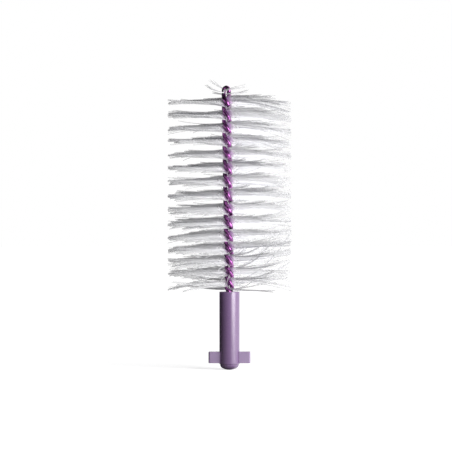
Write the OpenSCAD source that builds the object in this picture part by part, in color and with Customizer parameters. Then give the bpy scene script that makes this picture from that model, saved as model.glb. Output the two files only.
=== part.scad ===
// Interdental brush head for a click-in handle: a moulded plug, one wire folded in two and
// twisted, and nylon filaments pinched between the wire's legs. All sizes are in millimetres.
// +Z runs along the wire to its tip. The origin is on the plug's axis, in the plane of the
// wings' lower faces, where the plug seats in its handle.

/* [Plug] */
// Diameter of the round shank
shank_d = 2.6; // [2.2:0.1:4]
// Length of the shank from the wing seat up to its mouth
shank_l = 9.2; // [7.6:0.1:14]
// Length of the shank below the wing seat
shank_below = 0.15; // [0.1:0.05:0.4]
// Rounding of the shank's two end edges
shank_round = 0.08; // [0.02:0.01:0.1]
// How far the foot is set in from the shank's side
foot_step = 0.1; // [0.05:0.05:0.3]
// Height of the foot's straight side
foot_side_h = 0.1; // [0.05:0.05:0.5]
// Height of the foot's dome
foot_dome_h = 0.62; // [0.3:0.02:1.2]

/* [Wings] */
// Width across both wings
wing_span = 5.4; // [4.4:0.1:8]
// Height of a wing along the shank
wing_h = 1.45; // [0.8:0.05:3]
// Thickness of a wing from front to back
wing_t = 1.2; // [0.8:0.05:1.6]
// Rounding of a wing's outer upright edges
wing_round = 0.2; // [0.05:0.05:0.35]

/* [Wire] */
// Diameter of the bare wire
wire_d = 0.55; // [0.4:0.01:0.7]
// Space between the two legs, which the filaments fill
pinch_gap = 0.14; // [0.1:0.01:0.2]
// Depth of the twisted wire in the plug
wire_depth = 6; // [3:0.5:7]
// Clearance round the twisted wire in its bore
bore_clearance = 0.02; // [0.01:0.01:0.05]
// Height of the wire's eye above the bristles
eye_l = 1.3; // [1.1:0.1:2]
// Radius of the eye, to the middle of the wire
eye_r = 0.42; // [0.4:0.01:0.6]
// Turn of the twist between the last row and the eye, in degrees
eye_turn = 40; // [0:5:45]
// Share by which the twist is tighter than its average at the bristles' lower end
twist_tight = 0.28; // [0:0.01:0.3]
// Lean of the wire to the left above the plug, in degrees
wire_lean = 0.9; // [0:0.1:2]

/* [Bristles] */
// Diameter to which the filaments are trimmed
brush_d = 16; // [8:0.5:20]
// Length of the bristled part
brush_l = 24.7; // [20.5:0.1:36]
// Number of half turns of the wire along the bristles, with a row of bristles to each
rows = 15; // [10:1:18]
// Space between the plug's mouth and the first row
base_gap = 0.6; // [0.05:0.05:1]
// Strands on each side of a row
row_strands = 12; // [10:1:12]
// Thickness of a strand
strand_t = 0.08; // [0.06:0.01:0.09]
// Width of the pinched slice that carries a row's strands
slice_w = 0.6; // [0.4:0.05:0.7]
// Clearance between a slice and a leg of the wire
pinch_clearance = 0.01; // [0.005:0.005:0.02]
// Space between one slice and the next
slice_gap = 0.06; // [0.03:0.01:0.1]
// Upward lean in degrees of the highest strands on the right
right_lean_high = -6; // [-8:0.5:6]
// The same at the bristles' lower end
right_lean_low = 7; // [-6:0.5:10]
// Lean in degrees that is added on the right close to the plug
right_lean_end = 6; // [0:0.5:8]
// Upward lean in degrees of the highest strands on the left
left_lean_high = 0; // [-6:0.5:6]
// The same at the bristles' lower end
left_lean_low = -2; // [-6:0.5:6]

/* [Tip tuft] */
// Strands on each side of the tuft in the wire's eye
tuft_strands = 3; // [2:1:4]
// Length of the highest tuft strands
tuft_l = 3.4; // [2:0.1:5]
// Degrees by which every other tuft strand points off straight left or right
tuft_spread = 30; // [0:5:50]
// Upward lean in degrees of the steepest tuft strand on the left
tuft_left_lean = 30; // [10:5:40]
// Upward lean in degrees of the steepest tuft strand on the right
tuft_right_lean = 9; // [0:1:40]

/* [Hidden] */
$fn = 64;
// Small overlap with which a cut runs clear of a face
cut_over = 0.5;
// Corners of a dome's curve
dome_steps = 12;
// Sides of the wire's tube
wire_sides = 10;
// Rings of the wire's tube in one full turn of the twist
turn_rings = 14;
// The lean close to the plug falls off with this power of the distance below the upper end
lean_end_power = 8;
// Rings over the arch of the eye
arch_rings = 10;
// Lengths into which a strand is divided, so that it can curve
strand_parts = 2;

plug_colour = [0.53, 0.41, 0.60];
wire_colour = [0.45, 0.13, 0.46];
bristle_colour = [0.93, 0.93, 0.95];

shank_r = shank_d / 2;
foot_r = shank_r - foot_step;
wire_r = wire_d / 2;
// Distance from the axis to the middle of each leg
core_r = wire_r + pinch_gap / 2;
bore_r = core_r + wire_r + bore_clearance;
// Height of the bore's floor, on which the wire's two ends stand
wire_floor = shank_l - wire_depth;

half_turn = brush_l / rows;
// Degrees of twist in a millimetre where the twist is tightest
tightest_turn = 180 / half_turn * (1 + twist_tight);
brush_r = brush_d / 2;
brush_low = shank_l + base_gap;
brush_high = brush_low + brush_l;
// Height of the middle of the eye's arch
eye_z = brush_high + eye_l - eye_r - wire_r;
// The twist dies away over this length below the eye
ease_l = 2 * (eye_z - brush_high - half_turn * eye_turn / 180);
ease_z = eye_z - ease_l;
leg_rings = ceil((eye_z - wire_floor) / (2 * half_turn) * turn_rings);

root_r = slice_w / 2;
// The most that a flat facet of the twisted slice bulges towards a leg
facet_bulge = root_r / 2 * strand_t * tightest_turn * PI / 180;
slice_t = pinch_gap - 2 * (pinch_clearance + facet_bulge);

function row_name(i) = str("bristle_row_", i < 10 ? "0" : "", i);

function unit(v) = v / norm(v);
function smooth(t) = t * t * (3 - 2 * t);
function flat(lists) = [for (l = lists) each l];
function radial(angle) = [cos(angle), sin(angle), 0];
function quad(a, b, c, d) = [[a, b, c], [a, c, d]];

// The middle of the twist at a height: on the plug's axis inside the plug, leaning above it
function on_axis(z) = [-tan(wire_lean) * max(0, z - shank_l), 0, z];

// Share of the whole twist that lies between the bristles' upper end and a share v of their
// length. Below the bristles the twist goes on as tight as it is there.
function twist_share(v) =
    v < 1 ? v - twist_tight * pow(v, 3) * (1 - v) : 1 + (1 + twist_tight) * (v - 1);

// A height below the eye, moved so that a steady twist there dies away as it nears the eye
function eased(z) = z - pow(max(0, z - ease_z), 2) / (2 * ease_l);

// Angle of the first leg at a height. It falls as the height grows, which is a left-hand twist.
function leg_angle(z) = 180 + 180 * rows * twist_share((brush_high - eased(z)) / brush_l);

// The legs spread a little where they run into the eye.
function leg_radius(z) = core_r + (eye_r - core_r) * smooth(max(0, z - ease_z) / ease_l);
function leg_z(i) = wire_floor + (eye_z - wire_floor) * i / leg_rings;
function leg_out(i, side) = side * radial(leg_angle(leg_z(i)));
function leg_point(i, side) = leg_radius(leg_z(i)) * leg_out(i, side) + on_axis(leg_z(i));
function arch_out(i) =
    let (a = 180 * i / arch_rings)
    cos(a) * radial(leg_angle(eye_z)) + [0, 0, sin(a)];

// The wire's middle line: up the first leg, over the eye and down the second leg
wire_path = concat(
    [for (i = [0 : leg_rings - 1]) leg_point(i, 1)],
    [for (i = [0 : arch_rings]) eye_r * arch_out(i) + on_axis(eye_z)],
    [for (i = [leg_rings - 1 : -1 : 0]) leg_point(i, -1)]
);

// At each point of that line, the way out from the twist's axis or from the eye's middle
wire_out = concat(
    [for (i = [0 : leg_rings - 1]) leg_out(i, 1)],
    [for (i = [0 : arch_rings]) arch_out(i)],
    [for (i = [leg_rings - 1 : -1 : 0]) leg_out(i, -1)]
);
wire_last = len(wire_path) - 1;

function wire_along(i) = unit(wire_path[min(i + 1, wire_last)] - wire_path[max(i - 1, 0)]);

// A point of an end ring slides along the wire to the bore's floor, so that the end is cut level.
function on_floor(p, along) = p + along * (wire_floor - p.z) / along.z;

function wire_ring(i) =
    let (along = wire_along(i), side = unit(cross(along, wire_out[i])), out = cross(side, along))
    [
        for (k = [0 : wire_sides - 1])
            let (a = 360 * k / wire_sides, p = wire_path[i] + wire_r * (cos(a) * out + sin(a) * side))
            i == 0 || i == wire_last ? on_floor(p, along) : p
    ];

function tube_faces(rings, sides) =
    let (last = (rings - 1) * sides)
    concat(
        [for (k = [1 : sides - 2]) [0, k, k + 1]],
        [
            for (r = [0 : rings - 2], k = [0 : sides - 1])
                let (a = r * sides + k, b = r * sides + (k + 1) % sides)
                each quad(a, a + sides, b + sides, b)
        ],
        [for (k = [1 : sides - 2]) [last, last + k + 1, last + k]]
    );

// Lean of a strand that points along an azimuth: almost steady on the left, changing with the
// height on the right, and most of all close to the plug. Strands to the front and back are level.
function lean(azimuth, z) =
    let (
        down = (brush_high - z) / brush_l,
        left = left_lean_high + (left_lean_low - left_lean_high) * down,
        right = right_lean_high + (right_lean_low - right_lean_high) * down
            + right_lean_end * pow(down, lean_end_power)
    )
    (cos(azimuth) < 0 ? -left : right) * cos(azimuth);

// Azimuth in which a filament leaves the pinch at a height, to one side (-1) or the other (1)
function exit_azimuth(z, side) = leg_angle(z) + side * 90;

// A row's strand at a share t of its length: it leaves the wire level, curves to its lean and
// ends on a cylinder round the plug's axis, to which the brush is trimmed.
row_strand = function(j, z, side, t)
    let (
        azimuth = exit_azimuth(z, side),
        reach = brush_r - root_r,
        rise = reach * tan(lean(azimuth, z)) * t * t
    )
    (root_r + reach * t) * radial(azimuth) + [on_axis(z).x * (1 - t), 0, z + rise];

// A tuft's strand bends away to the left or the right by turns, and rises more to the left. The
// higher it is, the longer and steeper.
tuft_strand = function(j, z, side, t)
    let (
        azimuth = exit_azimuth(z, side),
        aim = (j % 2 == 0 ? 270 - tuft_spread : 90) + 90 * side,
        rank = (j + 1) / tuft_strands,
        rise = (cos(aim) < 0 ? tuft_left_lean : tuft_right_lean) * rank * t
    )
    on_axis(z) + root_r * radial(azimuth)
        + tuft_l * (1 + rank) / 2 * t
            * (cos(rise) * radial(azimuth + (aim - azimuth) * t) + [0, 0, sin(rise)]);

// The four corners of the pinched slice at a height
function slice_corners(z) =
    let (across = radial(leg_angle(z)) * slice_t / 2, along = radial(exit_azimuth(z, 1)) * root_r)
    [for (p = [-across - along, across - along, across + along, along - across]) p + on_axis(z)];

// A strand's four corners at the end of its part k
function strand_corners(strand, j, z, side, k) =
    let (
        p = strand(j, z, side, k / strand_parts),
        ahead = unit(p - strand(j, z, side, (k - 1) / strand_parts)),
        right = unit(cross([0, 0, 1], ahead)) * strand_t / 2,
        top = unit(cross(ahead, right)) * strand_t / 2
    )
    [p - right - top, p + right - top, p + right + top, p - right + top];

// One slice of the pinched filaments, with count strands growing from each of its two edges.
// The slice is cut level at the bottom and top of every strand, so each strand springs from a
// four-cornered patch of the slice's edge.
module strand_slice(z_low, z_high, count, strand) {
    pitch = (z_high - z_low) / count;
    middles = [for (j = [0 : count - 1]) z_low + (j + 0.5) * pitch];
    levels = concat([z_low], [for (z = middles) each [z - strand_t / 2, z + strand_t / 2]], [z_high]);
    top = len(levels) - 1;
    strand_start = 4 * len(levels);

    function patch(j, side) =
        let (low = 4 * (2 * j + 1), corner = side < 0 ? 0 : 2)
        [low + corner, low + corner + 1, low + corner + 5, low + corner + 4];
    function ring(j, side, k) =
        let (number = (side < 0 ? 0 : count) + j)
        k == 0 ? patch(j, side)
            : [for (c = [0 : 3]) strand_start + 4 * (number * strand_parts + k - 1) + c];
    function joined(low, high) =
        flat([for (c = [0 : 3]) quad(low[c], high[c], high[(c + 1) % 4], low[(c + 1) % 4])]);
    function edge(m, corner) =
        let (a = 4 * m + corner, b = 4 * m + (corner + 1) % 4)
        quad(a, a + 4, b + 4, b);

    slice_faces = concat(
        quad(0, 1, 2, 3),
        quad(4 * top, 4 * top + 3, 4 * top + 2, 4 * top + 1),
        flat([for (m = [0 : top - 1], corner = [1, 3]) edge(m, corner)]),
        flat([for (m = [0 : 2 : top - 1], corner = [0, 2]) edge(m, corner)])
    );
    strand_faces = [
        for (side = [-1, 1], j = [0 : count - 1])
            let (end = ring(j, side, strand_parts))
            each concat(
                flat([for (k = [1 : strand_parts]) joined(ring(j, side, k - 1), ring(j, side, k))]),
                quad(end[0], end[3], end[2], end[1])
            )
    ];
    slice_points = flat([for (z = levels) slice_corners(z)]);
    strand_points = flat([
        for (side = [-1, 1], j = [0 : count - 1], k = [1 : strand_parts])
            strand_corners(strand, j, middles[j], side, k)
    ]);
    polyhedron(concat(slice_points, strand_points), concat(slice_faces, strand_faces));
}

// A round bar of radius r between two heights, with both end edges rounded
module rounded_bar(r, z_low, z_high, round) {
    rotate_extrude() {
        translate([0, z_low]) square([r - round, z_high - z_low]);
        translate([0, z_low + round]) square([r, z_high - z_low - 2 * round]);
        for (z = [z_low + round, z_high - round])
            translate([r - round, z]) circle(r = round);
    }
}

// The foot's straight side reaches up into the shank, and its dome is half an ellipse.
module foot() {
    side_top = -shank_below + shank_round;
    side_low = -shank_below - foot_side_h;
    rotate_extrude()
        polygon(concat(
            [[0, side_top], [foot_r, side_top]],
            [
                for (k = [0 : dome_steps])
                    let (a = 90 * k / dome_steps)
                    [foot_r * cos(a), side_low - foot_dome_h * sin(a)]
            ]
        ));
}

// Both wings are the ends of one flat bar across the shank.
module wings() {
    linear_extrude(wing_h) {
        square([wing_span - 2 * wing_round, wing_t], center = true);
        square([wing_span, wing_t - 2 * wing_round], center = true);
        for (x = [-1, 1], y = [-1, 1])
            translate([x * (wing_span / 2 - wing_round), y * (wing_t / 2 - wing_round)])
                circle(r = wing_round);
    }
}

module plug() {
    color(plug_colour)
        difference() {
            union() {
                rounded_bar(shank_r, -shank_below, shank_l, shank_round);
                foot();
                wings();
            }
            translate([0, 0, wire_floor]) cylinder(r = bore_r, h = wire_depth + cut_over);
        }
}

module wire() {
    color(wire_colour)
        polyhedron(
            flat([for (i = [0 : wire_last]) wire_ring(i)]),
            tube_faces(wire_last + 1, wire_sides)
        );
}

module tip_tuft() {
    color(bristle_colour)
        strand_slice(brush_high + slice_gap / 2, eye_z, tuft_strands, tuft_strand);
}

// Row i, counted from the plug
module bristle_row(i) {
    low = brush_low + (i - 1) * half_turn;
    color(bristle_colour)
        strand_slice(low + slice_gap / 2, low + half_turn - slice_gap / 2, row_strands, row_strand);
}

plug();
wire();
tip_tuft();
for (i = [1 : rows])
    bristle_row(i);
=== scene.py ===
# %% [markdown]
# # A brush head for the gaps between teeth
# The object is a small click-in brush head: a moulded purple plug, one lacquered wire that is folded
# into a hairpin and twisted, and thousands of nylon filaments that the twist holds. This lesson
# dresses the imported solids: it models fine meshes in their places and gives each its finish.
# The maths is in millimetres, because the whole thing is under 40 mm long, and each mesh is scaled to
# metres at the end. Small sizes in metres would fall under the tolerances of Blender's operators.

# %% Load the frame
import math

import bmesh
import bpy
import numpy as np
from mathutils import Matrix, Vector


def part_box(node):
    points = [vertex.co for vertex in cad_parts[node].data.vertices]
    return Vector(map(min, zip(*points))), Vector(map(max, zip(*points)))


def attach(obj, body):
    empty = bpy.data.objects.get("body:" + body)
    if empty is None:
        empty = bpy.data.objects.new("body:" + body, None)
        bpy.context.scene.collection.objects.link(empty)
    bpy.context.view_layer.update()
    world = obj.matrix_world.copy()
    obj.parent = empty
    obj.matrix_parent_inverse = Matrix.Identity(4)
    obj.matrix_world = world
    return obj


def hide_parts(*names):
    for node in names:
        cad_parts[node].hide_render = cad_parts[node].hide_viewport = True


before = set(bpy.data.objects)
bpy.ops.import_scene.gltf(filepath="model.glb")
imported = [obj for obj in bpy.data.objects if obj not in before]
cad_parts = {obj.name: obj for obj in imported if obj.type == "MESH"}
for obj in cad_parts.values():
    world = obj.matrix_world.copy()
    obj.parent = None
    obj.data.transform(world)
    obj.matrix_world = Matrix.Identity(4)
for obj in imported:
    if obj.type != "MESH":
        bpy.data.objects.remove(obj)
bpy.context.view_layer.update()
MM = 0.001
BODY = "root"
plug_low, plug_high = (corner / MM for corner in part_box("plug"))
wire_low, wire_high = (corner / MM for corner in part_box("wire"))
row_names = sorted(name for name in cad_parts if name.startswith("bristle_row_"))
print("plug from", round(plug_low.z, 2), "to", round(plug_high.z, 2), "mm,", len(row_names), "rows")

# %% [markdown]
# ## Camera
# The photograph looks straight at the brush from the front, from so far away that the top of the plug
# hardly shows, although the lens is above it. A short lens close by would look into the plug's mouth
# and spread the rows, so a long one stands far back. The bristles give the scale: 16 mm, 124 pixels.

# %% Camera
# Width of the photograph in pixels, and what one pixel spans on the object
PIXELS = 452
PIXEL = 0.12903
VIEW_DISTANCE = 260
# Middle of the image, to the side of the plug's axis and above the wing seat
VIEW_X = -0.445
VIEW_Z = 17.67

frame_width = PIXELS * PIXEL
camera = bpy.data.objects.new("camera", bpy.data.cameras.new("camera"))
bpy.context.collection.objects.link(camera)
camera.location = (VIEW_X * MM, -VIEW_DISTANCE * MM, VIEW_Z * MM)
camera.rotation_euler = (math.pi / 2, 0, 0)
camera.data.lens = camera.data.sensor_width * VIEW_DISTANCE / frame_width
camera.data.clip_start = MM
bpy.context.scene.camera = camera
print("lens", round(camera.data.lens, 1), "mm, frame", round(frame_width, 1), "mm wide")

# %% [markdown]
# ## Shader maths
# A finish is a small graph of nodes. Building it node by node hides the idea, so this class wraps an
# output socket: Python's operators on it add Math nodes, and one method adds any other node.


# %% Shader maths
class Signal:
    """An output socket of a node tree, on which operators add Math nodes."""

    def __init__(self, tree, socket):
        self.tree = tree
        self.socket = socket

    def node(self, kind, settings=None, sockets=None, output=0):
        """Add a node: its settings first, then the values or links of its sockets."""
        made = self.tree.nodes.new(kind)
        for name, value in (settings or {}).items():
            setattr(made, name, value)
        for name, value in (sockets or {}).items():
            if isinstance(value, Signal):
                self.tree.links.new(value.socket, made.inputs[name])
            else:
                made.inputs[name].default_value = value
        return Signal(self.tree, made.outputs[output])

    def maths(self, operation, *values):
        """Add a Math node that takes values or Signals."""
        return self.node("ShaderNodeMath", {"operation": operation}, dict(enumerate(values)))

    def __add__(self, other):
        return self.maths("ADD", self, other)

    def __radd__(self, other):
        return self.maths("ADD", other, self)

    def __sub__(self, other):
        return self.maths("SUBTRACT", self, other)

    def __mul__(self, other):
        return self.maths("MULTIPLY", self, other)

    def __rmul__(self, other):
        return self.maths("MULTIPLY", other, self)


# Numbers of the sockets by which a Mix node mixes colours
MIX_FACTOR = 0
MIX_FIRST = 6
MIX_SECOND = 7
MIX_RESULT = 2


def mixed(factor, first, second):
    """A colour between two, each a colour or a Signal."""
    colours = [c if isinstance(c, Signal) else (*c, 1) for c in (first, second)]
    sockets = {MIX_FACTOR: factor, MIX_FIRST: colours[0], MIX_SECOND: colours[1]}
    return factor.node("ShaderNodeMix", {"data_type": "RGBA"}, sockets, MIX_RESULT)


def smooth_step(value, low, high):
    """0 where value is low, 1 where it is high, with soft shoulders."""
    settings = {"interpolation_type": "SMOOTHSTEP"}
    return value.node("ShaderNodeMapRange", settings, {"Value": value, "From Min": low, "From Max": high})


print("shader maths ready")

# %% [markdown]
# ## Finishes
# Each finish here is one principled shader. What is the same all over a piece is set on its sockets,
# and what varies is fed to them from noises in object coordinates, which need no unwrapped map.


# %% Finishes
class Finish:
    """A new material: its principled shader, and the places on the piece that wears it."""

    def __init__(self, name, constants):
        self.material = bpy.data.materials.new(name)
        self.material.use_nodes = True
        self.tree = self.material.node_tree
        self.shader = self.tree.nodes["Principled BSDF"]
        for socket, value in constants.items():
            self.shader.inputs[socket].default_value = value

    def place(self):
        """Object coordinates."""
        return Signal(self.tree, self.tree.nodes.new("ShaderNodeTexCoord").outputs["Object"])

    def feed(self, socket, signal):
        """Let a signal drive a socket of the shader."""
        self.tree.links.new(signal.socket, self.shader.inputs[socket])

    def bump(self, height, strength, depth):
        """Raise the surface by a height signal, whose full step is a depth in millimetres."""
        sockets = {"Height": height, "Strength": strength, "Distance": depth * MM}
        self.feed("Normal", height.node("ShaderNodeBump", {}, sockets))


def noise(place, size, detail=2.0):
    """A cloudy pattern with lumps of about a size in millimetres."""
    sockets = {"Vector": place, "Scale": 1 / (size * MM), "Detail": detail}
    return place.node("ShaderNodeTexNoise", {}, sockets)


# A noise goes from 0 to 1, round this level
NOISE_MIDDLE = 0.5


def wobble(pattern, amount):
    """A noise as a change of up to half an amount, up or down."""
    return amount * (pattern - NOISE_MIDDLE)


print("finishes ready")

# %% [markdown]
# ## Helpers for modelling
# Operators act on all that is selected, so a piece starts with nothing else selected. In edit mode
# the faces and edges to work on are picked in code, by where they are.


# %% Helpers for modelling
def start_clean():
    """Deselect everything, so that the next operators act on the new piece alone."""
    bpy.ops.object.select_all(action="DESELECT")


def pick(kind, test):
    """In edit mode, select only the faces or edges that pass a test."""
    bpy.ops.mesh.select_mode(type=kind)
    bpy.ops.mesh.select_all(action="DESELECT")
    mesh = bmesh.from_edit_mesh(bpy.context.object.data)
    found = [e for e in (mesh.faces if kind == "FACE" else mesh.edges) if test(e)]
    for element in found:
        element.select_set(True)
    mesh.select_flush_mode()
    bmesh.update_edit_mesh(bpy.context.object.data)
    return len(found)


def finish_piece(piece, name, slot, material, *nodes):
    """Scale a piece from millimetres to metres, dress it and put it in the place of CAD nodes."""
    piece.data.transform(Matrix.Scale(MM, 4))
    piece.name = name
    piece.data.name = name
    piece.data.materials.clear()
    piece.data.materials.append(material)
    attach(piece, BODY)
    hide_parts(*nodes)
    print(name, len(piece.data.polygons), "faces")


print("modelling helpers ready")

# %% [markdown]
# ## Plug finish
# The plug is injection-moulded in a coloured plastic with a satin surface. Its shank is smooth enough
# to show a soft streak of light, and its wings have the coarser grain of a spark-eroded mould. Two
# materials would leave a hard seam, so there is one: a fine noise gives the grain, a coarse one lets
# the colour drift, and a mask by the distance to the side makes the wings rougher and paler. Their
# paleness is a painted sheen, for the lamp's light that their grain scatters.

# %% Plug finish
SHANK_R = 1.3
PLUG_COLOUR = (0.24, 0.142, 0.30)
# Pale colour towards which the cloud drifts, and towards which the wings are painted as a sheen
PLUG_PALE = (0.385, 0.275, 0.465)
PLASTIC_IOR = 1.6
# Shares of the shank's radius between which the mask goes over to the wings
WING_MASK = (0.9, 1.02)
# How far the wings are painted paler: a painted sheen of the lamp's light on their grain
WING_PAINTED_SHEEN = 0.9
CLOUD_SIZE = 0.9
CLOUD_PALENESS = 0.2
GRAIN_SIZE = 0.06
GRAIN_DETAIL = 3
GRAIN_STRENGTH = 0.25
GRAIN_DEPTH = 0.004
SHANK_ROUGHNESS = 0.26
WING_ROUGHNESS = 0.3
GRAIN_ROUGHNESS = 0.1


def plug_finish():
    finish = Finish("satin_purple_plastic", {"IOR": PLASTIC_IOR, "Specular IOR Level": 1.0})
    place = finish.place()
    apart = place.node("ShaderNodeSeparateXYZ", {}, {0: place})
    side = apart.maths("ABSOLUTE", apart)
    wing = smooth_step(side, *(share * SHANK_R * MM for share in WING_MASK))
    grain = noise(place, GRAIN_SIZE, GRAIN_DETAIL)
    cloud = noise(place, CLOUD_SIZE)
    # Painted sheen on the wings, and the plastic's own colour drift from the cloud
    paleness_and_sheen = WING_PAINTED_SHEEN * wing + wobble(cloud, CLOUD_PALENESS)
    finish.feed("Base Color", mixed(paleness_and_sheen, PLUG_COLOUR, PLUG_PALE))
    finish.feed("Roughness", SHANK_ROUGHNESS + WING_ROUGHNESS * wing + wobble(grain, GRAIN_ROUGHNESS))
    finish.bump(grain, GRAIN_STRENGTH, GRAIN_DEPTH)
    return finish.material


plug_material = plug_finish()
print(plug_material.name)

# %% [markdown]
# ## Plug
# The shank, the domed foot and the bore are round, so they could be spun from a half outline. Here a
# circle is extruded and scaled from ring to ring instead, because the wings then grow from the rings'
# own faces: the faces between two corners at each side are drawn out and flattened.

# %% Plug: round body
FOOT_R = 1.2
FOOT_SIDE_LOW = -0.25
SHANK_LOW = -0.15
EDGE_R = 0.08
WING_H = 1.45
BORE_R = 0.64
BORE_EDGE = 0.03
DOME_STEPS = 12
EDGE_STEPS = 4
# Corners of a ring: with 104, the eighth on from a side corner lies at a wing's front or back face
RING_CORNERS = 104
WING_CORNERS = 8

dome_h = FOOT_SIDE_LOW - plug_low.z
mouth = plug_high.z
quarter = [math.pi / 2 * k / EDGE_STEPS for k in range(EDGE_STEPS + 1)]
dome = [math.pi / 2 * (1 - k / DOME_STEPS) for k in range(1, DOME_STEPS + 1)]
profile = [(FOOT_R * math.cos(a), FOOT_SIDE_LOW - dome_h * math.sin(a)) for a in dome]
profile += [(FOOT_R, SHANK_LOW)]
profile += [
    (SHANK_R - EDGE_R * (1 - math.sin(a)), SHANK_LOW + EDGE_R * (1 - math.cos(a))) for a in quarter
]
profile += [(SHANK_R, 0), (SHANK_R, WING_H)]
profile += [(SHANK_R - EDGE_R * (1 - math.cos(a)), mouth - EDGE_R * (1 - math.sin(a))) for a in quarter]
profile += [(BORE_R + BORE_EDGE, mouth), (BORE_R, mouth - BORE_EDGE), (BORE_R, wire_low.z)]

start_clean()
bpy.ops.mesh.primitive_circle_add(
    vertices=RING_CORNERS, radius=profile[0][0], fill_type="NGON", location=(0, 0, profile[0][1])
)
plug = bpy.context.object
bpy.ops.object.transform_apply(location=True)
bpy.ops.object.mode_set(mode="EDIT")
for (r0, z0), (r1, z1) in zip(profile, profile[1:]):
    bpy.ops.mesh.extrude_region_move(TRANSFORM_OT_translate={"value": (0, 0, z1 - z0)})
    bpy.ops.transform.resize(value=(r1 / r0, r1 / r0, 1), center_override=(0, 0, z1))
print("plug: round body of", len(profile), "rings")

# %% Plug: wings
WING_ROUND = 0.2
WING_ROUND_STEPS = 6
WING_EDGE = 0.05
WING_EDGE_STEPS = 3
FLAT_ANGLE = math.radians(1)
PLUG_SHARP_ANGLE = math.radians(35)
NEAR = 1e-3

wing_end = plug_high.x
wing_side = SHANK_R * math.sin(2 * math.pi * WING_CORNERS / RING_CORNERS)


def on_side(sign):
    """A test for the faces of the round body from which a wing grows."""

    def test(face):
        middle = face.calc_center_median()
        return 0 < middle.z < WING_H and abs(middle.y) < wing_side and sign * middle.x > BORE_R + NEAR

    return test


def off_body(element):
    """True if all corners of a face or edge lie on a wing, and some of them off the round body."""
    reach = [math.hypot(v.co.x, v.co.y) for v in element.verts]
    level = all(-NEAR < v.co.z < WING_H + NEAR for v in element.verts)
    return level and min(reach) > SHANK_R - 2 * NEAR and max(reach) > SHANK_R + NEAR


def upright_end(edge):
    """True for the upright edges at the far end of a wing."""
    a, b = (v.co for v in edge.verts)
    return abs(a.z - b.z) > NEAR and all(abs(abs(p.x) - wing_end) < NEAR for p in (a, b))


def outline(edge):
    """True for the edges round a wing's upper and lower faces."""
    a, b = (v.co for v in edge.verts)
    return off_body(edge) and abs(a.z - b.z) < NEAR


for sign in (-1, 1):
    pick("FACE", on_side(sign))
    bpy.ops.mesh.extrude_region_move(TRANSFORM_OT_translate={"value": (sign * (wing_end - SHANK_R), 0, 0)})
    bpy.ops.transform.resize(value=(0, 1, 1), center_override=(sign * wing_end, 0, 0))
pick("FACE", off_body)
bpy.ops.mesh.dissolve_limited(angle_limit=FLAT_ANGLE)
print("upright edges", pick("EDGE", upright_end))
bpy.ops.mesh.bevel(offset=WING_ROUND, segments=WING_ROUND_STEPS, affect="EDGES", clamp_overlap=False)
print("outline edges", pick("EDGE", outline))
bpy.ops.mesh.bevel(offset=WING_EDGE, segments=WING_EDGE_STEPS, affect="EDGES", clamp_overlap=False)
bpy.ops.mesh.select_all(action="SELECT")
bpy.ops.mesh.normals_make_consistent(inside=False)
bpy.ops.object.mode_set(mode="OBJECT")
bpy.ops.object.shade_smooth_by_angle(angle=PLUG_SHARP_ANGLE)
bpy.ops.object.modifier_add(type="WEIGHTED_NORMAL")
bpy.context.object.modifiers[-1].keep_sharp = True
bpy.ops.object.modifier_apply(modifier=bpy.context.object.modifiers[-1].name)
finish_piece(plug, "moulded_plug", "plug_plastic", plug_material, "plug")

# %% [markdown]
# ## Twist
# The wire and the filaments follow the same twist, so its formula comes first. Two legs wind round an
# axis that leans a little to the left above the plug. The twist is left-handed, it is tighter close to
# the plug, and it dies away below the eye at the tip.

# %% Twist
WIRE_R = 0.275
PINCH_GAP = 0.14
EYE_L = 1.3
EYE_R = 0.42
EYE_TURN = math.radians(40)
TWIST_TIGHT = 0.28
WIRE_LEAN = math.radians(0.9)
BRUSH_R = 8
BASE_GAP = 0.6

rows = len(row_names)
core_r = WIRE_R + PINCH_GAP / 2
brush_low = mouth + BASE_GAP
brush_high = wire_high.z - EYE_L
brush_l = brush_high - brush_low
half_turn = brush_l / rows
eye_z = wire_high.z - EYE_R - WIRE_R
ease_l = 2 * (eye_z - brush_high - half_turn * EYE_TURN / math.pi)
ease_z = eye_z - ease_l


def axis_x(z):
    """How far the twist's axis lies from the plug's axis at a height."""
    return -math.tan(WIRE_LEAN) * np.maximum(0, z - mouth)


def leg_angle(z):
    """Azimuth of the first leg at a height, in radians."""
    eased = z - np.maximum(0, z - ease_z) ** 2 / (2 * ease_l)
    v = (brush_high - eased) / brush_l
    among_rows = v - TWIST_TIGHT * v**3 * (1 - v)
    in_plug = 1 + (1 + TWIST_TIGHT) * (v - 1)
    return math.pi * (1 + rows * np.where(v < 1, among_rows, in_plug))


def leg_radius(z):
    """The legs spread where they run into the eye."""
    t = np.maximum(0, z - ease_z) / ease_l
    return core_r + (EYE_R - core_r) * t * t * (3 - 2 * t)


print("half turn", round(half_turn, 2), "mm, bristles from", round(brush_low, 2), "to", round(brush_high, 2))

# %% [markdown]
# ## Wire finish
# The wire is steel under a clear magenta lacquer. Lacquer on metal tints what it mirrors, so the
# shader is a coloured metal under a clear coat, and not a plastic. The lacquer runs a little, and thin
# places are pinker: one coarse noise moves colour, coat and roughness together.

# %% Wire finish
LACQUER_DEEP = (0.05, 0.006, 0.06)
LACQUER_THIN = (0.56, 0.165, 0.55)
RUN_SIZE = 0.5
# Noise levels between which a run goes from deep to thin
RUN_LEVELS = (0.3, 0.7)
RUN_ROUGHNESS = 0.08
RUN_COAT = 0.3
COAT_WEIGHT = 0.55
COAT_ROUGHNESS = 0.16
DRAWN_SIZE = 0.05
DRAWN_DETAIL = 4
DRAWN_ROUGHNESS = 0.12
DRAWN_STRENGTH = 0.15
DRAWN_DEPTH = 0.004
WIRE_ROUGHNESS = 0.22


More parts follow.
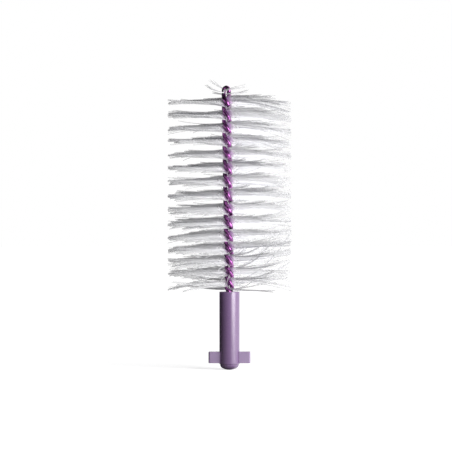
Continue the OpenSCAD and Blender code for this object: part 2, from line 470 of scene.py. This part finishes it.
def wire_finish():
    finish = Finish("magenta_lacquer_on_steel", {"Coat Roughness": COAT_ROUGHNESS, "Metallic": 1.0})
    place = finish.place()
    runs = noise(place, RUN_SIZE)
    drawn = noise(place, DRAWN_SIZE, DRAWN_DETAIL)
    finish.feed("Base Color", mixed(smooth_step(runs, *RUN_LEVELS), LACQUER_DEEP, LACQUER_THIN))
    finish.feed("Roughness", WIRE_ROUGHNESS + wobble(drawn, DRAWN_ROUGHNESS) + wobble(runs, RUN_ROUGHNESS))
    finish.feed("Coat Weight", COAT_WEIGHT + wobble(runs, RUN_COAT))
    finish.bump(drawn, DRAWN_STRENGTH, DRAWN_DEPTH)
    return finish.material


wire_material = wire_finish()
print(wire_material.name)

# %% [markdown]
# ## Wire
# A wire is a path with a round section. It could be swept by extruding a circle hundreds of times,
# but a curve with a bevel is made for it: the points come from the twist's formula, up the first leg,
# over the eye and down the second, and the curve is then made a mesh.

# %% Wire
TURN_RINGS = 40
ARCH_RINGS = 24
WIRE_BEVEL = 6
WIRE_SHARP_ANGLE = math.radians(50)

leg_rings = math.ceil((eye_z - wire_low.z) / (2 * half_turn) * TURN_RINGS)
leg_z = np.linspace(wire_low.z, eye_z, leg_rings + 1)[:-1]
first_leg = np.stack(
    [
        leg_radius(leg_z) * np.cos(leg_angle(leg_z)) + axis_x(leg_z),
        leg_radius(leg_z) * np.sin(leg_angle(leg_z)),
        leg_z,
    ],
    1,
)
second_leg = first_leg * (-1, -1, 1) + np.stack([2 * axis_x(leg_z), 0 * leg_z, 0 * leg_z], 1)
arch_angle = np.linspace(0, math.pi, ARCH_RINGS + 1)
eye_angle = leg_angle(eye_z)
arch_out = EYE_R * np.cos(arch_angle)
arch = np.stack(
    [
        axis_x(eye_z) + arch_out * np.cos(eye_angle),
        arch_out * np.sin(eye_angle),
        eye_z + EYE_R * np.sin(arch_angle),
    ],
    1,
)
wire_path = np.concatenate([first_leg, arch, second_leg[::-1]])

start_clean()
wire_curve = bpy.data.curves.new("wire", "CURVE")
wire_curve.dimensions = "3D"
wire_curve.bevel_depth = WIRE_R
wire_curve.bevel_resolution = WIRE_BEVEL
wire_curve.use_fill_caps = True
spline = wire_curve.splines.new("POLY")
spline.points.add(len(wire_path) - 1)
spline.points.foreach_set("co", np.c_[wire_path, np.ones(len(wire_path))].ravel())
wire = bpy.data.objects.new("wire_curve", wire_curve)
bpy.context.collection.objects.link(wire)
bpy.context.view_layer.objects.active = wire
wire.select_set(True)
bpy.ops.object.convert(target="MESH")
wire = bpy.context.object
bpy.ops.object.shade_smooth_by_angle(angle=WIRE_SHARP_ANGLE)
finish_piece(wire, "twisted_wire", "wire_lacquer", wire_material, "wire")

# %% [markdown]
# ## Filament finish
# The filaments are clear nylon. One alone hardly shows, and a bundle looks white or grey. Glass that
# bends light would need many more rays for that look, so the shader is a pale plastic that is partly
# see-through, most of all at the roots and the tips. Close to the wire the roots are painted lilac, a
# painted reflection of the lacquer in the clear nylon.
# Tones come from the piece's own map: across it runs the filament's length, and up it a band for each
# tone, which all filaments of a clump share. The grey of a few clumps is painted shade.

# %% Filament finish
# Name of the filaments' map, which the shader reads. The export's bake keeps a map of this name
FILAMENT_MAP = "OFBake"
TONES = 64
NYLON_IOR = 1.53
NYLON_ROUGHNESS = 0.35
NYLON_WHITE = (0.95, 0.95, 0.96)
# Grey for a few clumps at random, painted shade
NYLON_SHADE_GREY = (0.5, 0.5, 0.53)
# Lilac of the wire's lacquer, painted on the roots as a painted reflection
ROOT_LILAC_REFLECTION = (0.66, 0.5, 0.71)
ROOT_OPACITY = 0.14
BODY_OPACITY = 0.38
TIP_OPACITY = 0.26
# Shares of the length over which the painted lilac ends, the root goes over to the body,
# and the body to the tip
LILAC_REFLECTION_SHARES = (0.04, 0.1)
ROOT_SHARES = (0.06, 0.24)
TIP_SHARES = (0.3, 1.0)


def filament_finish():
    finish = Finish("clear_nylon", {"IOR": NYLON_IOR, "Roughness": NYLON_ROUGHNESS})
    start = Signal(finish.tree, finish.shader.outputs[0])
    spot = start.node("ShaderNodeUVMap", {"uv_map": FILAMENT_MAP})
    along = start.node("ShaderNodeSeparateXYZ", {}, {0: spot}, 0)
    up = start.node("ShaderNodeSeparateXYZ", {}, {0: spot}, 1)
    band = start.maths("FLOOR", up * TONES)
    tone = start.node("ShaderNodeTexWhiteNoise", {"noise_dimensions": "1D"}, {"W": band})
    # The cube leaves most clumps white and few grey, in painted shade
    nylon = mixed(tone * tone * tone, NYLON_WHITE, NYLON_SHADE_GREY)
    # The lilac at the roots is a painted reflection of the lacquer
    finish.feed("Base Color", mixed(smooth_step(along, *LILAC_REFLECTION_SHARES), ROOT_LILAC_REFLECTION, nylon))
    rooted = (BODY_OPACITY - ROOT_OPACITY) * smooth_step(along, *ROOT_SHARES)
    ended = (BODY_OPACITY - TIP_OPACITY) * smooth_step(along, *TIP_SHARES)
    finish.feed("Alpha", ROOT_OPACITY + rooted - ended)
    return finish.material


filament_material = filament_finish()
print(filament_material.name)

# %% [markdown]
# ## One filament
# A filament is a fine prism of four sides, drawn out ring by ring so that it can bend. It is modelled
# once, standing on its root. Thousands of copies are then bent in arrays, which is the one step here
# that operators would be far too slow for.

# %% One filament
FILAMENT_R = 0.05
FILAMENT_SIDES = 4
FILAMENT_PARTS = 6

start_clean()
bpy.ops.mesh.primitive_circle_add(vertices=FILAMENT_SIDES, radius=FILAMENT_R, fill_type="NGON")
pattern = bpy.context.object
bpy.ops.object.mode_set(mode="EDIT")
for _ in range(FILAMENT_PARTS):
    bpy.ops.mesh.extrude_region_move(TRANSFORM_OT_translate={"value": (0, 0, 1 / FILAMENT_PARTS)})
bpy.ops.mesh.select_all(action="SELECT")
bpy.ops.mesh.normals_make_consistent(inside=False)
bpy.ops.object.mode_set(mode="OBJECT")
pattern_points = np.array([v.co for v in pattern.data.vertices])
pattern_faces = np.array([p.vertices for p in pattern.data.polygons])
bpy.data.objects.remove(pattern)
part_of = np.rint(pattern_points[:, 2] * FILAMENT_PARTS).astype(int)
print("one filament:", len(pattern_points), "corners,", len(pattern_faces), "faces")

# %% [markdown]
# ## Copies of the filament
# A copy's middle line is a short list of points. Its corners are set off from that line along two
# directions square to it, and its map runs from root to tip in the band of its tone.

# %% Copies of the filament
# Share of the map's width that an end face takes, and where in its band a filament's map lies
END_MAP = 0.02
BAND_LOW = 0.2
BAND_WIDTH = 0.6


def unit(v):
    return v / np.linalg.norm(v, axis=-1, keepdims=True)


def bent_copies(lines):
    """Corners of one filament along each line: lines is filaments by points by xyz."""
    along = unit(np.gradient(lines, axis=1))
    across = unit(np.cross(along, (0, 0, 1)))
    upward = np.cross(along, across)
    offset_x = pattern_points[:, 0, None] * across[:, part_of]
    offset_y = pattern_points[:, 1, None] * upward[:, part_of]
    return lines[:, part_of] + offset_x + offset_y


def filament_mesh(name, lines, tones):
    """One mesh of a filament along each line, with its map."""
    corners = bent_copies(lines)
    faces = pattern_faces[None] + len(pattern_points) * np.arange(len(lines))[:, None, None]
    mesh = bpy.data.meshes.new(name)
    mesh.from_pydata(corners.reshape(-1, 3), [], faces.reshape(-1, FILAMENT_SIDES).tolist())
    mesh.shade_smooth()
    turn = np.arctan2(pattern_points[:, 1], pattern_points[:, 0])[pattern_faces] / (2 * math.pi) % 1
    share = pattern_points[:, 2][pattern_faces]
    on_side = np.ptp(share, axis=1, keepdims=True) > 0
    across_map = np.where(on_side, share, share * (1 - END_MAP) + END_MAP * turn)
    across_map = np.broadcast_to(across_map, (len(lines), *across_map.shape))
    up_map = (tones[:, None, None] + BAND_LOW + BAND_WIDTH * turn) / TONES
    layer = mesh.uv_layers.new(name=FILAMENT_MAP)
    layer.uv.foreach_set("vector", np.stack([across_map, up_map], -1).astype(np.float32).ravel())
    mesh.update()
    return mesh


print("copies ready")

# %% [markdown]
# ## Lean and clumps
# In each half turn of the wire the pinch faces once all round, so a row is a twisted leaf to both
# sides of the wire. The filaments leave it level and curve to a lean that changes with the height on
# the right, and as nylon clings together, neighbours share a clump. Blender's hair could grow them,
# but it doesn't know the pinch, so the lines are worked out from the twist's formula.

# %% Lean and clumps
# Upward lean in degrees at the low and the high end, and what the lowest filaments on the right add
LEFT_LEAN_LOW = -3
LEFT_LEAN_HIGH = 0
RIGHT_LEAN_LOW = 7
RIGHT_LEAN_HIGH = -6
RIGHT_LEAN_END = 6
END_POWER = 8
# Filaments in a clump, and how strongly looseness makes the largest clumps smaller
CLUMP_LEAST = 4
CLUMP_MOST = 12
CLUMP_LOOSENING = 1.5
SEED = 33
random = np.random.default_rng(SEED)


def lean(azimuth, z):
    """Upward lean in degrees: almost steady on the left, changing with the height on the right."""
    down = (brush_high - z) / brush_l
    left = LEFT_LEAN_HIGH + (LEFT_LEAN_LOW - LEFT_LEAN_HIGH) * down
    right = RIGHT_LEAN_HIGH + (RIGHT_LEAN_LOW - RIGHT_LEAN_HIGH) * down + RIGHT_LEAN_END * down**END_POWER
    return np.where(np.cos(azimuth) < 0, -left, right) * np.cos(azimuth)


def near_front(azimuth, spread):
    """1 for a filament that points to the front, less for one that is turned away from there."""
    turned = np.angle(np.exp(1j * (azimuth + math.pi / 2)))
    return np.exp(-((turned / spread) ** 2))


def clumps(count, loose):
    """A clump number for each of a count of neighbours, in smaller clumps where they are loose."""
    most = round(CLUMP_MOST / loose**CLUMP_LOOSENING)
    sizes = random.integers(round(CLUMP_LEAST / loose), most + 1, count)
    return np.repeat(np.arange(count), sizes)[:count]


def clump_mean(values, clump):
    """The mean of the values in its clump, for each filament."""
    return (np.bincount(clump, values) / np.bincount(clump))[clump]


print("lean on the right from", RIGHT_LEAN_HIGH, "to", RIGHT_LEAN_LOW + RIGHT_LEAN_END, "degrees")

# %% [markdown]
# ## One side of a row
# On the real brush the wire shows between the filaments, so the ones that point straight to the front
# are thinned. Each filament aims a little off its neighbours, a few stray far, and the right side is
# less neat than the left. Clumps then draw their tips together, and all are trimmed to one cylinder.
# Every line is a formula of arrays: a loop over thousands of filaments would be slow.

# %% One side of a row
ROOT_R = 0.12
# Share of the filaments that is left out at the front, and the angle over which that fades
FRONT_THIN = 0.9
FRONT_SPREAD = 0.4
STRAY_SHARE = 0.1
STRAY_FACTOR = 4
# Spread of the clumps and of their single filaments, in degrees
CLUMP_TURN = 3.5
CLUMP_RISE = 1.0
OWN_TURN = 1.8
OWN_RISE = 0.9
# How much more the filaments on the right spread up and down
RIGHT_RUFFLE = 1.0
# How far a clump draws its tips together: 0 is not at all and 1 is into one
DRAW_SHARES = (0.15, 0.6)
DRAW_LOOSE = 0.3
DRAW_MOST = 0.95
# Spread of the trimmed length as a share of the brush's radius, and the room above the plug's mouth
TRIM_ERROR = 0.012
TIP_CLEAR = 0.1
# A filament's own wave: its height at the tip, and the angle that it goes through from root to tip
WAVE_HEIGHT = 0.03
WAVE_TURN = 5
BEND_POWER = 1.5
LEAN_POWER = 2
LINE_SHARES = np.linspace(0, 1, FILAMENT_PARTS + 1)

lowest_tip = mouth + TIP_CLEAR


def leaf_roots(z_low, z_high, side, count):
    """Heights at which the filaments on one side of a row leave the pinch, fewer at the front."""
    z = z_low + (z_high - z_low) * (np.arange(count) + random.random(count)) / count
    thinned = FRONT_THIN * near_front(leg_angle(z) + side * math.pi / 2, FRONT_SPREAD)
    return z[random.random(count) > thinned]


def leaf_tips(z, exit_azimuth, clump, loose):
    """Azimuth, reach and height of the tips. Loose is 1 for a neat row."""
    count = len(z)
    stray = np.where(random.random(count) < STRAY_SHARE * loose, STRAY_FACTOR, 1)
    turn_clump = random.normal(0, CLUMP_TURN, count)[clump]
    rise_clump = random.normal(0, CLUMP_RISE, count)[clump]
    draw = np.minimum(DRAW_MOST, random.uniform(*DRAW_SHARES, count)[clump] + DRAW_LOOSE * (loose - 1))
    turn = np.radians(loose * (turn_clump + stray * random.normal(0, OWN_TURN, count)))
    rise = loose**2 * rise_clump + loose * stray * random.normal(0, OWN_RISE, count)
    rise = rise * (1 + RIGHT_RUFFLE * np.maximum(0, np.cos(exit_azimuth)))
    free = exit_azimuth + turn
    azimuth = free + draw * (clump_mean(free, clump) - free)
    reach = BRUSH_R * (1 - np.abs(random.normal(0, TRIM_ERROR, count))) - ROOT_R
    tip = z + reach * np.tan(np.radians(lean(azimuth, z) + rise))
    tip = tip + draw * (clump_mean(tip, clump) - tip)
    return azimuth, reach, lowest_tip + np.abs(tip - lowest_tip)


def leaf_lines(z_low, z_high, side, count, loose):
    """Middle lines and tones of the filaments on one side of a row."""
    z = leaf_roots(z_low, z_high, side, count)
    count = len(z)
    clump = clumps(count, loose)
    exit_azimuth = leg_angle(z) + side * math.pi / 2
    azimuth, reach, tip = leaf_tips(z, exit_azimuth, clump, loose)
    wave = random.normal(0, WAVE_HEIGHT, count) * loose
    phase = random.uniform(0, 2 * math.pi, count)
    along = LINE_SHARES
    turned = exit_azimuth[:, None] + (azimuth - exit_azimuth)[:, None] * along**BEND_POWER
    out = ROOT_R + reach[:, None] * along
    x = out * np.cos(turned) + axis_x(z)[:, None] * (1 - along)
    y = out * np.sin(turned)
    ripple = wave[:, None] * along * np.sin(WAVE_TURN * along + phase[:, None])
    rising = z[:, None] + (tip - z)[:, None] * along**LEAN_POWER + ripple
    return np.stack([x, y, rising], -1), random.integers(0, TONES, count)[clump]


print("filaments trimmed to", 2 * BRUSH_R, "mm across")

# %% [markdown]
# ## Rows of filaments
# There is a row for each half turn of the wire. The lowest rows are looser and thinner, and the first
# reaches down to the plug's mouth. Clear nylon passes most light: with shadows from all filaments the
# brush would be dark inside, and with none it would be flat. So only a part of them casts shadows,
# most of all those near the front, which shade the side away from the lamp. Shadows are switched for
# whole objects, so these filaments are a second piece in each row.

# %% Rows of filaments
SIDE_FILAMENTS = 150
# For each row further down among the lowest: how much looser it is, and the share that it loses
LOOSE_ROWS = 3
LOOSE_STEP = 0.4
LOOSE_THIN = 0.11
# How far below its half turn the first row starts
FOOT_DROP = 0.4
# Share of the filaments that casts shadows, more of them by the front and a little to its left
SHADE_SHARE = 0.05
FRONT_SHADE = 0.9
SHADE_SPREAD = 0.5
SHADE_TURN = 0.35


def row_lines(number):
    """Middle lines and tones of the filaments on both sides of a row."""
    low = brush_low + number * half_turn
    high = low + half_turn
    looser = max(0, LOOSE_ROWS - number)
    count = round(SIDE_FILAMENTS * (1 - LOOSE_THIN * looser))
    if number == 0:
        low -= FOOT_DROP
    sides = [leaf_lines(low, high, side, count, 1 + LOOSE_STEP * looser) for side in (-1, 1)]
    return (np.concatenate(both) for both in zip(*sides))


def row_pieces(number, name):
    """The two pieces of a row, without shadows and with them. Returns its count of filaments."""
    lines, tones = row_lines(number)
    azimuth = np.arctan2(lines[:, -1, 1], lines[:, -1, 0])
    share = SHADE_SHARE + FRONT_SHADE * near_front(azimuth + SHADE_TURN, SHADE_SPREAD)
    shading = random.random(len(lines)) < share
    for ending, chosen in (("", ~shading), ("_shading", shading)):
        piece_name = name.replace("bristle", "filament") + ending
        mesh = filament_mesh(piece_name, lines[chosen], tones[chosen])
        piece = bpy.data.objects.new(piece_name, mesh)
        bpy.context.collection.objects.link(piece)
        finish_piece(piece, piece_name, "filament_nylon", filament_material, name)
        piece.visible_shadow = chosen is shading
    return len(lines)


filament_count = sum(row_pieces(number, name) for number, name in enumerate(row_names))
print("filaments in rows:", filament_count)

# %% [markdown]
# ## Tip tuft
# In the eye of the wire a few filaments are held loosely and point away at the sides, up to the left
# and almost level to the right. Single filaments would hardly show here, so each strand of the CAD
# tuft becomes a small bundle, whose filaments stray a little from the strand's line.

# %% Tip tuft
TUFT_STRANDS = 3
TUFT_BUNDLE = 6
TUFT_L = 3.4
TUFT_SPREAD = 30
TUFT_LEFT_LEAN = 30
TUFT_RIGHT_LEAN = 9
TUFT_ROOT = 0.3
SLICE_GAP = 0.06
# Directions in degrees, from the right and by the back
BACK = 90
FRONT = 270
QUARTER = 90
# How far filaments stray from their strand: degrees round, degrees up and a share of the length
TUFT_STRAYS = np.array((5, 2.5, 0.12))


def tuft_line(j, side):
    """Middle line of one filament in the bundle that stands for a strand, off it by a random stray."""
    aim_stray, rise_stray, length_stray = TUFT_STRAYS * random.normal(0, 1, len(TUFT_STRAYS))
    z = brush_high + SLICE_GAP / 2 + (j + 0.5) * (eye_z - brush_high - SLICE_GAP / 2) / TUFT_STRANDS
    azimuth = leg_angle(z) + side * math.pi / 2
    facing = FRONT - TUFT_SPREAD if j % 2 == 0 else BACK
    aim = math.radians(facing + QUARTER * side + aim_stray)
    steepest = TUFT_LEFT_LEAN if math.cos(aim) < 0 else TUFT_RIGHT_LEAN
    rank = (j + 1) / TUFT_STRANDS
    along = LINE_SHARES
    rise = np.radians((steepest * rank + rise_stray) * along)
    turned = azimuth + (aim - azimuth) * along
    out = TUFT_L * (1 + rank) / 2 * along * (1 - abs(length_stray))
    x = axis_x(z) + TUFT_ROOT * math.cos(azimuth) + out * np.cos(rise) * np.cos(turned)
    y = TUFT_ROOT * math.sin(azimuth) + out * np.cos(rise) * np.sin(turned)
    return np.stack([x, y, z + out * np.sin(rise)], -1)


strands = [(j, side) for j in range(TUFT_STRANDS) for side in (-1, 1)]
tuft_lines = np.array([tuft_line(j, side) for j, side in strands for _ in range(TUFT_BUNDLE)])
tuft_mesh = filament_mesh("filament_tip_tuft", tuft_lines, random.integers(0, TONES, len(tuft_lines)))
tuft = bpy.data.objects.new("filament_tip_tuft", tuft_mesh)
bpy.context.collection.objects.link(tuft)
finish_piece(tuft, "filament_tip_tuft", "filament_nylon", filament_material, "tip_tuft")
tuft.visible_shadow = False

# %% [markdown]
# ## Studio
# The photograph has one soft lamp, close by at the right and in front of the brush, and almost no light
# from the left. An area lamp does that alone. The backdrop and the floor are white to the camera, in
# mirrors and through clear things, while the light that they throw on the brush comes from the right
# and from behind. A white room that lit the brush from all sides would wash out its dark left.

# %% Studio: lamp
LAMP_TURN = 46
LAMP_RISE = 12
LAMP_DISTANCE = 80
LAMP_WIDTH = 64
LAMP_HEIGHT = 62
LAMP_RADIANCE = 7.6

turn, rise = math.radians(LAMP_TURN), math.radians(LAMP_RISE)
level = math.cos(rise)
towards_lamp = np.array((math.sin(turn) * level, -math.cos(turn) * level, math.sin(rise)))
lamp_data = bpy.data.lights.new("soft_lamp", "AREA")
lamp_data.shape = "RECTANGLE"
lamp_data.size = LAMP_WIDTH * MM
lamp_data.size_y = LAMP_HEIGHT * MM
lamp_data.energy = LAMP_RADIANCE * math.pi * lamp_data.size * lamp_data.size_y
lamp = bpy.data.objects.new("soft_lamp", lamp_data)
bpy.context.collection.objects.link(lamp)
lamp.location = (np.array((0, 0, VIEW_Z)) + LAMP_DISTANCE * towards_lamp) * MM
lamp.rotation_euler = (math.pi / 2 - rise, 0, turn)
lamp.visible_camera = False
print("lamp", round(lamp_data.energy, 3), "W")

# %% Studio: backdrop
# Light that reaches the brush from all round, and the share of its white that the bright side throws
FILL_LEVEL = 0.01
FILL_SHARE = 0.3
BACKDROP_TURN = 30
# Cosines of the angle from the brightest direction, between which the backdrop goes from dark to bright
BRIGHT_COSINES = (0.05, 0.6)


def shows_white(start):
    """Two signals: 1 for rays from the camera, and 1 for those off mirrors or through clear things."""
    path = start.tree.nodes.new("ShaderNodeLightPath").outputs
    seen, glossy, clear = (
        Signal(start.tree, path[name]) for name in ("Is Camera Ray", "Is Glossy Ray", "Is Transmission Ray")
    )
    return seen, start.maths("MAXIMUM", glossy, clear)


def bright_side(place):
    """1 in the directions that lie on the backdrop's bright side, behind the brush and to its right."""
    turn = math.radians(BACKDROP_TURN)
    side = (math.cos(turn), math.sin(turn), 0)
    way = place.node("ShaderNodeVectorMath", {"operation": "NORMALIZE"}, {0: place})
    facing = place.node("ShaderNodeVectorMath", {"operation": "DOT_PRODUCT"}, {0: way, 1: side}, 1)
    return smooth_step(facing, *BRIGHT_COSINES)


def studio_world():
    world = bpy.data.worlds.new("studio")
    world.use_nodes = True
    tree = world.node_tree
    back = tree.nodes["Background"]
    start = Signal(tree, tree.nodes.new("ShaderNodeTexCoord").outputs["Generated"])
    bright = bright_side(start)
    seen, mirrored = shows_white(start)
    lit = FILL_LEVEL + bright * (FILL_SHARE + (1 - FILL_SHARE) * mirrored)
    strength = start.maths("MAXIMUM", seen, lit)
    tree.links.new(strength.socket, back.inputs["Strength"])
    back.inputs["Color"].default_value = (1, 1, 1, 1)
    bpy.context.scene.world = world
    print("backdrop brightest", BACKDROP_TURN, "degrees behind the right")


studio_world()

# %% [markdown]
# ## Floor
# The foot stands on the white ground of a photograph. A floor that is only lit would end in a grey
# line against the backdrop, so it also glows: fully far away, where it meets the backdrop unseen, and
# less round the foot, so that the plug's shadow still shows there.

# %% Floor
FLOOR_SIZE = 3000
# The glow at the foot, and the distances from it between which it grows to full
FLOOR_GLOW = 0.7
FLOOR_NEAR = 3
FLOOR_FAR = 60
# Colour for the light that the brush gets from the floor, and for the camera
FLOOR_GREY = (0.3, 0.3, 0.3)
FLOOR_WHITE = (0.8, 0.8, 0.8)
FLOOR_ROUGHNESS = 0.9


def floor_finish():
    constants = {"Roughness": FLOOR_ROUGHNESS, "Specular IOR Level": 0, "Emission Strength": 1}
    finish = Finish("white_floor", constants)
    start = finish.place()
    seen, mirrored = shows_white(start)
    glow = start.maths("MAXIMUM", seen, mirrored * bright_side(start))
    finish.feed("Base Color", mixed(glow, FLOOR_GREY, FLOOR_WHITE))
    away = start.node("ShaderNodeVectorMath", {"operation": "LENGTH"}, {0: start}, 1)
    far = smooth_step(away, FLOOR_NEAR * MM, FLOOR_FAR * MM)
    finish.feed("Emission Color", glow * (FLOOR_GLOW + (1 - FLOOR_GLOW) * far))
    return finish.material


start_clean()
bpy.ops.mesh.primitive_plane_add(size=FLOOR_SIZE * MM, location=(0, 0, plug_low.z * MM))
floor = bpy.context.object
floor.name = "floor"
floor.data.materials.append(floor_finish())
bpy.context.scene.view_settings.view_transform = "Standard"
print("floor at", round(plug_low.z, 2), "mm")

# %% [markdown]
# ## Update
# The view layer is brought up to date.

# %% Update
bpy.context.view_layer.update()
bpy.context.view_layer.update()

# %% [markdown]
# ## Light through the filaments
# Dozens of clear filaments lie one behind another, and light goes from one to the next. With Blender's
# usual limits such paths end early and the brush gets dark, so both limits are raised.

# %% Light through the filaments
CLEAR_BOUNCES = 64
SOFT_BOUNCES = 8

bpy.context.scene.cycles.transparent_max_bounces = CLEAR_BOUNCES
bpy.context.scene.cycles.diffuse_bounces = SOFT_BOUNCES
print("bounces", CLEAR_BOUNCES, "and", SOFT_BOUNCES)
